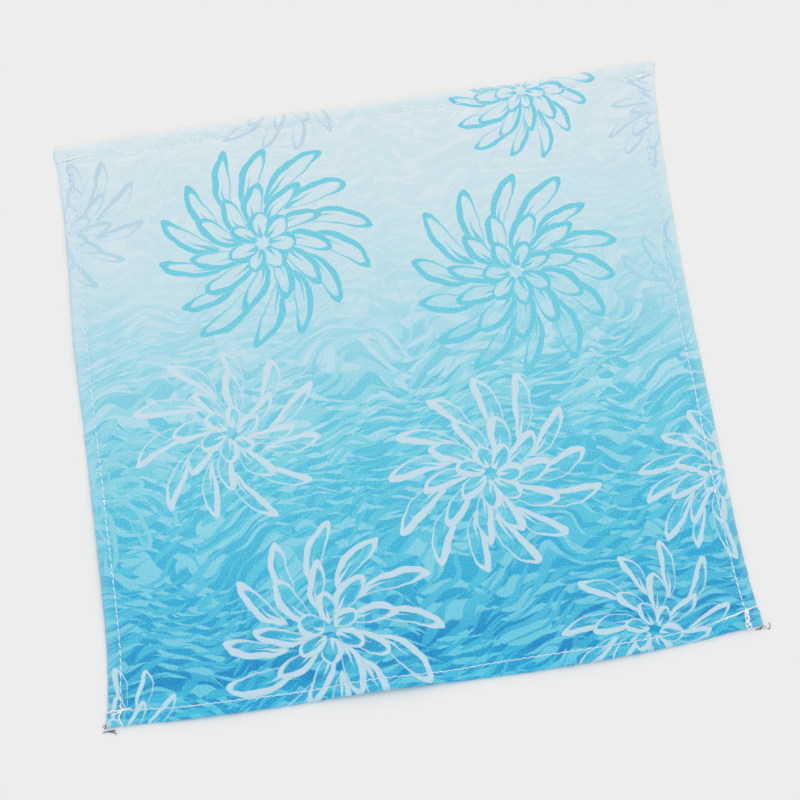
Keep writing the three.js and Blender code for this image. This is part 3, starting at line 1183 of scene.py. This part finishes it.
# The seams' thread and the tack thread are one white thread in two copies. The seams' copy is bluer:
# painted reflection of the blue cloth, and a cooler tone against the warm key lamp. The tack copy is
# whiter: painted light where its own shadow greys it.
sewing_thread = spun_yarn("sewing_thread", (214, 232, 249), (247, 252, 255), 0.12, 0.2)
lit_tack_thread = spun_yarn("lit_tack_thread", (230, 238, 247), (253, 254, 255), 0.12, 0.2)
dark_thread = spun_yarn("dark_thread", (36, 38, 45), (88, 91, 101), 0.12, 0.1)
pile_yarn = spun_yarn("pile_yarn", (214, 220, 227), (246, 247, 248), 0.15, 0.5)
loose_cotton = spun_yarn("loose_cotton", (222, 230, 236), (247, 248, 249), 0.05, 0.4)

# %% The ground of the pile
HOLLOW_SIZE = 0.9
GROUND_THREAD = 0.3


def looped_ground():
    """The woven ground between the loops: it shows as small darker hollows."""
    material, shade = new_material("looped_ground")
    place = shade.node("ShaderNodeTexCoord", None, None, "Object")
    place = shade.vector("MULTIPLY", place, (1.0, 1.0, 0.0))
    inputs = {"Vector": place, "Scale": 1 / (HOLLOW_SIZE * MM)}
    hollows = shade.node("ShaderNodeTexVoronoi", {"voronoi_dimensions": "2D"}, inputs, "Distance")
    threads = shade.noise(place, 1 / (GROUND_THREAD * MM), dimensions="3D")
    shadow = shade.clamp(hollows * 0.7 + threads * 0.5 - 0.2)
    return surfaced(material, shade, {
        "Base Color": shade.mix(shadow, dyed(243, 245, 247), dyed(196, 205, 214)),
        "Normal": shade.bump(1.0 - shadow, 0.6, 0.4),
        "Roughness": 0.95, "Sheen Weight": 0.4,
    })


# %% The table top
TABLE_TONES = (0.836, 0.844)
MOTTLES_PER_METRE = 25.0


def table_top():
    """Plain pale board with a faint mottle."""
    material, shade = new_material("table_top")
    place = shade.node("ShaderNodeTexCoord", None, None, "Object")
    mottle = shade.noise(place, MOTTLES_PER_METRE, 3.0, dimensions="3D")
    darker, paler = ((tone, tone, tone, 1.0) for tone in TABLE_TONES)
    finish = {"Base Color": shade.mix(mottle, darker, paler), "Roughness": 0.95}
    return surfaced(material, shade, finish)


cloth.data.materials.append(printed_cotton())
cloth.data.materials.append(looped_ground())
floor.data.materials.append(table_top())

# %% [markdown]
# ## Sewing the hem
# Each seam gets its stitches on both faces. The back, left and right seams are pulled tight,
# so less of each stitch shows, and on the front seam the stitches nearly touch.

# %% Stitches of the four seams
STITCH_LIE = {
    # seam: share of the way that shows, slant and sway in radians, and width of the thread
    "front": (0.92, 0.12, 0.06, 0.45),
    "back": (0.60, 0.05, 0.07, 0.60),
    "left": (0.56, 0.10, 0.12, 0.52),
    "right": (0.64, 0.10, 0.07, 0.57),
}
lay_stitches = stitches_tree()
stitch_sets = []
for number, (seam, (share, slant, sway, width)) in enumerate(STITCH_LIE.items()):
    for layer, (face, side) in enumerate({"face": 1, "underside": -1}.items()):
        middles, directions = stitch_places(seam, layer)
        stitch = one_stitch("one_stitch", side, share, width)
        values = {"Shape": stitch, "Finish": sewing_thread, "Slant": slant, "Sway": sway, "Seed": number}
        attributes = {"direction": directions * MM}
        stitch_sets.append(grown(f"{seam}_seam_{face}", middles, attributes, lay_stitches, values))
        bpy.data.objects.remove(stitch)
    print(seam, "seam stitches:", len(middles))


# %% [markdown]
# ## Back-tacks and thread ends
# Where a seam begins or stops, the machine sews back and forth over one place, and the
# threads are cut off short. Every strand is a smooth line through a few points. Strands on
# the cloth take their height from the face under them, and cut ends that have slipped off it
# lie on the table. Tacking and the pale cut ends use a whiter copy of the seams' thread:
# painted light, which keeps them bright where their own shadow greys them.

# %% Tacking and knots at the two front corners
TACK_STRANDS = [
    # x and y in mm, then height above the face
    [
        (118.1, -115.6, 0.0), (117.6, -117.3, 0.3), (117.3, -119.1, 0.2), (117.4, -120.7, 0.4),
        (116.9, -122.1, 0.3), (117.5, -123.2, 0.2), (118.2, -123.5, -0.2),
    ],
    [
        (118.5, -115.6, 0.0), (118.9, -117.0, 0.3), (118.3, -118.5, 0.5), (118.8, -119.9, 0.3),
        (118.0, -121.3, 0.5), (119.0, -122.3, 0.3), (118.7, -123.4, 0.2), (117.3, -123.7, -0.3),
    ],
    [
        (118.2, -115.4, 0.1), (117.9, -116.5, 0.5), (118.7, -117.6, 0.5), (117.6, -118.7, 0.4),
        (118.7, -119.6, 0.6), (117.3, -120.9, 0.5), (118.8, -122.0, 0.5), (117.1, -122.8, 0.4),
        (118.0, -123.8, 0.0),
    ],
    [
        (118.7, -116.1, 0.3), (117.9, -117.9, 0.7), (118.6, -119.1, 0.7), (117.8, -120.7, 0.7),
        (118.3, -122.6, 0.4),
    ],
    [
        (122.9, -115.2, -0.2), (121.6, -115.3, 0.25), (120.2, -115.7, 0.3), (118.9, -115.9, 0.3),
        (117.6, -116.2, 0.1),
    ],
    [(-122.2, -121.4, 0.1), (-120.9, -120.9, 0.4), (-119.5, -120.6, 0.4), (-118.0, -120.3, 0.1)],
    [(-122.6, -120.9, 0.1), (-121.2, -120.4, 0.45), (-119.9, -120.2, 0.3), (-118.7, -120.5, 0.1)],
    [(-121.4, -121.2, 0.3), (-120.2, -120.5, 0.6), (-118.9, -120.4, 0.5), (-117.2, -120.3, 0.1)],
    [
        (-121.3, -118.6, 0.1), (-120.8, -119.4, 0.4), (-120.3, -120.2, 0.3), (-121.1, -121.3, 0.4),
        (-121.6, -121.7, 0.1),
    ],
    [(-124.1, -122.2, 0.0), (-122.9, -121.8, 0.3), (-121.9, -121.4, 0.3), (-120.9, -120.6, 0.2)],
    [
        (-120.6, -120.8, 0.2), (-121.3, -121.9, 0.3), (-121.9, -123.0, 0.2), (-121.6, -124.8, 0.2),
        (-120.9, -126.4, -0.1),
    ],
    [
        (-126.6, -120.3, -0.3), (-125.4, -120.6, 0.2), (-124.3, -120.2, 0.25),
        (-123.2, -120.6, 0.25), (-121.8, -120.5, 0.2),
    ],
]

# %% Cut ends beside the two front corners
PALE_END_WIDTH = 0.36
PALE_ENDS = [
    # x, y and z in mm
    [
        (-127.0, -124.6, 0.3), (-128.0, -126.4, 0.4), (-127.4, -127.2, 0.3), (-125.6, -127.1, 0.3),
        (-123.5, -127.1, 0.25),
    ],
    [(-128.5, -127.3, 0.25), (-127.4, -126.9, 0.5), (-126.6, -127.3, 0.3)],
    [(121.4, -123.6, 0.3), (122.4, -122.8, 0.4), (123.7, -123.7, 0.5), (125.4, -123.9, 0.25)],
]
DARK_ENDS = {
    # width, then x, y and z in mm
    0.35: [
        [(120.5, -124.0, 0.3), (121.4, -123.9, 0.35), (122.3, -123.7, 0.4), (123.6, -123.5, 0.4)],
        [(-127.3, -125.5, 0.6), (-127.6, -126.3, 0.4), (-127.5, -126.9, 0.3)],
        [(-127.1, -127.5, 0.3), (-126.3, -127.7, 0.3), (-125.2, -127.6, 0.4), (-123.8, -127.5, 0.4)],
        [(-125.9, -127.9, 0.3), (-125.0, -128.0, 0.3), (-124.3, -128.3, 0.3), (-123.5, -128.9, 0.3)],
    ],
    0.23: [
        [(122.1, -124.3, 0.25), (122.9, -123.2, 0.6), (123.7, -123.0, 0.7), (124.5, -123.4, 0.3)],
        [(123.6, -123.4, 0.4), (124.4, -123.7, 0.3), (125.1, -124.0, 0.25), (125.7, -124.6, 0.3)],
        [(125.5, -124.7, 0.3), (126.0, -123.9, 0.4), (126.2, -122.9, 0.5), (125.9, -121.9, 0.3)],
        [(-127.2, -125.5, 0.3), (-127.4, -125.0, 0.7), (-128.0, -125.2, 0.6), (-128.4, -125.7, 0.25)],
        [(-128.6, -127.8, 0.25), (-127.8, -127.7, 0.3), (-127.1, -127.6, 0.3)],
    ],
}

# %% Strands that run along a seam
SEAM_STRANDS = {
    # seam: distance along it and step aside from it in mm, then height above the face
    "back": [
        [
            (-0.2, 0.1, -0.2), (1.2, 0.2, 0.25), (3.0, 0.0, 0.35), (5.2, 0.25, 0.3),
            (7.6, 0.05, 0.35), (9.8, 0.2, 0.0),
        ],
        [(1.8, -0.2, 0.1), (3.8, 0.3, 0.4), (6.2, -0.1, 0.35), (8.4, 0.3, 0.1)],
        [
            (-0.1, -0.3, -0.2), (1.6, -0.1, 0.3), (3.6, -0.3, 0.3), (5.8, 0.0, 0.35),
            (8.0, -0.2, 0.3), (9.6, 0.0, 0.0),
        ],
        [
            (241.6, 0.3, 0.0), (243.0, -0.1, 0.3), (244.6, -0.45, 0.35), (246.2, -0.65, 0.3),
            (247.7, -1.0, 0.1), (249.4, -1.35, -0.2),
        ],
        [(241.9, 0.0, 0.1), (243.4, -0.5, 0.35), (245.0, -0.8, 0.35), (246.7, -0.5, 0.1)],
        [(242.3, 0.45, 0.1), (243.8, 0.05, 0.3), (245.4, -0.15, 0.3), (246.9, -0.8, 0.1)],
    ],
    "front": [
        [
            (235.4, 0.0, 0.0), (237.2, 0.15, 0.2), (239.2, -0.1, 0.25), (241.4, 0.15, 0.25),
            (244.6, 0.0, 0.2),
        ],
        [
            (236.2, -0.2, 0.1), (238.4, 0.1, 0.25), (240.6, -0.2, 0.25), (243.0, 0.1, 0.3),
            (244.8, -0.1, 0.2),
        ],
    ],
    "left": [
        [(90.9, -0.7, 0.0), (90.5, -0.2, 0.3), (90.2, 0.3, 0.35), (90.7, 0.8, 0.0)],
        [(90.7, -0.3, 0.2), (89.9, 0.0, 0.35), (89.0, 0.1, 0.1)],
    ],
    "right": [
        # The same small loop of thread stands up twice.
        [(start, 0.3, 0.0), (start + 0.6, 0.55, 0.35), (start + 1.2, 0.75, 0.4),
         (start + 1.5, 0.45, 0.3), (start + 1.0, 0.2, 0.1)]
        for start in (63.1, 55.1)
    ],
}


def along_seam(seam, steps):
    """The places of a strand given by its steps along a seam."""
    distance, aside, lift = np.array(steps).T
    across, up = seam_places(seam, distance, aside)
    return np.column_stack([spread(clamp01(across), clamp01(up)), lift])


# %% Strands along their lines
STRAND_STEP = 0.16
FEWEST_STEPS = 6
TURNS_PER_MM = 0.9
TACK_WIDTH = 0.60
TACK_CLEARANCE = 0.12


def face_height(x, y):
    """Height of the printed face beside a place, from its four nearest vertices."""
    away = np.hypot(places[:, 0] - x, places[:, 1] - y)
    nearest = np.argsort(away)[:4]
    weight = 1 / (away[nearest] + 0.05)
    return float((top_heights[nearest] * weight).sum() / weight.sum())


def smooth_line(points):
    """Evenly spaced points on a smooth curve through these ones, and its length."""
    points = np.array(points, float)
    reach = np.concatenate([[0], np.cumsum(np.linalg.norm(np.diff(points, axis=0), axis=1))])
    table = {"along": reach / reach[-1], "x": points[:, 0], "y": points[:, 1], "z": points[:, 2]}
    at = np.linspace(0, 1, max(FEWEST_STEPS, int(reach[-1] / STRAND_STEP)))
    return np.column_stack([through(table, axis, at) for axis in "xyz"]), reach[-1]


def strands(name, lines, width, material):
    """One mesh object of twisted strands along these lines."""
    parts = []
    for line in lines:
        path, length = smooth_line(line)
        path[:, :2] += centre_shift
        parts.append(twisted(path, width, length * TURNS_PER_MM, sides=6))
    made = mesh_object(name, *joined(parts))
    made.data.materials.append(material)
    print(name, "strands:", len(lines), "faces:", len(made.data.polygons))
    return made


on_face = TACK_STRANDS + [
    along_seam(seam, steps) for seam, lines in SEAM_STRANDS.items() for steps in lines
]
tack_lines = [
    [(x, y, face_height(x, y) + TACK_CLEARANCE + lift) for x, y, lift in line] for line in on_face
]
thread_ends = [
    strands("back_tacks", tack_lines, TACK_WIDTH, lit_tack_thread),
    strands("pale_thread_ends", PALE_ENDS, PALE_END_WIDTH, lit_tack_thread),
]
for number, (width, lines) in enumerate(DARK_ENDS.items()):
    thread_ends.append(strands(f"dark_thread_ends_{number}", lines, width, dark_thread))


# %% [markdown]
# ## Pile
# The back is terry: rows of small loops stand out of the ground and carry the cloth on the
# table. They stop short of the hem, which is turned flat. One loop is a few faces, and the
# same kind of tree that laid the stitches sets it at every place of a grid, turned and
# leaning by chance. The grid comes in four quarters, to keep each piece light.

# %% A tree that scatters a shape
def scatter_tree():
    """Sets a shape at every point, turned about z and leaning by chance."""
    nodes, given = placing_tree("scatter", "Turn", "Lean", "Shortest")
    inputs = {0: (-1.0, -1.0, -1.0), 1: (1.0, 1.0, 1.0), "Seed": given["Seed"]}
    chance = nodes.node("FunctionNodeRandomValue", {"data_type": "FLOAT_VECTOR"}, inputs)
    lean, _, turn = nodes.parts(chance)
    euler = nodes.combine(lean * given["Lean"], 0.0, turn * given["Turn"])
    rotation = nodes.node("FunctionNodeEulerToRotation", None, {0: euler})
    inputs = {2: given["Shortest"], 3: 1.0, "Seed": given["Seed"]}
    size = nodes.node("FunctionNodeRandomValue", {"data_type": "FLOAT"}, inputs, 1)
    return set_shapes(nodes, given, rotation, size)


scatter = scatter_tree()

# %% The pile in four quarters
LOOP_STEP = 1.9
LOOP_JITTER = 0.25
LOOP_WIDTH = 1.25
LOOP_YARN = 0.42
LOOP_ARCH = ((-0.5, 0.10), (-0.42, -0.28), (0.0, -0.49), (0.42, -0.28), (0.5, 0.10))
PILE_MARGIN = 1.6

loop_path = np.array([(x * LOOP_WIDTH, 0.0, z) for x, z in LOOP_ARCH])
one_loop = mesh_object("one_loop", *tube(loop_path, LOOP_YARN / 2, sides=3))
pile = []
first_row = HEM_WIDTH + PILE_MARGIN
rows = np.arange(first_row, SIDE - first_row, LOOP_STEP)
x, y = np.meshgrid(rows, rows)
x = x + LOOP_STEP / 2 * (np.arange(len(rows)) % 2)[:, None]
for number, quarter in enumerate(CORNERS):
    in_front, on_left = quarter.startswith("front"), quarter.endswith("left")
    chosen = ((y < SIDE / 2) == in_front) & ((x < SIDE / 2) == on_left)
    dice = np.random.default_rng(60 + number)
    jitter = dice.uniform(-LOOP_JITTER, LOOP_JITTER, (2, chosen.sum()))
    feet = on_cloth((x[chosen] + jitter[0]) / SIDE, (y[chosen] + jitter[1]) / SIDE, 1)
    values = {
        "Shape": one_loop, "Finish": pile_yarn, "Turn": 0.6, "Lean": 0.5, "Shortest": 0.82, "Seed": number,
    }
    pile.append(grown(f"pile_{quarter}", feet, {}, scatter, values))
bpy.data.objects.remove(one_loop)

# %% [markdown]
# ## Loose fibres
# Cut and brushed cotton is never quite clean at its folds. Fifteen hundred curved fibres
# stand out of the hem, far finer than the thread, and soften its edge. Most of them are near
# the fold, because the share by which each stands inside it is squared.

# %% Fibres along the hem
FIBRES = 1500
FIBRE_WIDTH = 0.04
FIBRE_BAND = (0.1, 6.5)
CORNER_MARGIN = 0.003

fibre_path = np.array([(0.0, 0.0, -0.1), (0.35, 0.06, 0.12), (0.75, 0.0, 0.22), (1.1, -0.2, 0.20)])
one_fibre = mesh_object("one_fibre", *tube(fibre_path, FIBRE_WIDTH / 2, sides=3))
dice = np.random.default_rng(77)
edge, along = dice.integers(0, 4, FIBRES), dice.uniform(CORNER_MARGIN, 1 - CORNER_MARGIN, FIBRES)
band_start, band_width = FIBRE_BAND
inset = (band_start + band_width * dice.uniform(0, 1, FIBRES) ** 2) / SIDE
across = np.choose(edge, [along, along, inset, 1 - inset])
up = np.choose(edge, [inset, 1 - inset, along, along])
values = {
    "Shape": one_fibre, "Finish": loose_cotton, "Turn": math.pi, "Lean": 0.5, "Shortest": 0.35, "Seed": 5,
}
fibres = grown("loose_fibres", on_cloth(across, up), {}, scatter, values)
bpy.data.objects.remove(one_fibre)

# %% Hand the pieces to the frame
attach(cloth, "root")
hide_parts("cloth")
for piece in stitch_sets + thread_ends:
    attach(piece, "root")

for piece in pile + [fibres]:
    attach(piece, "root")
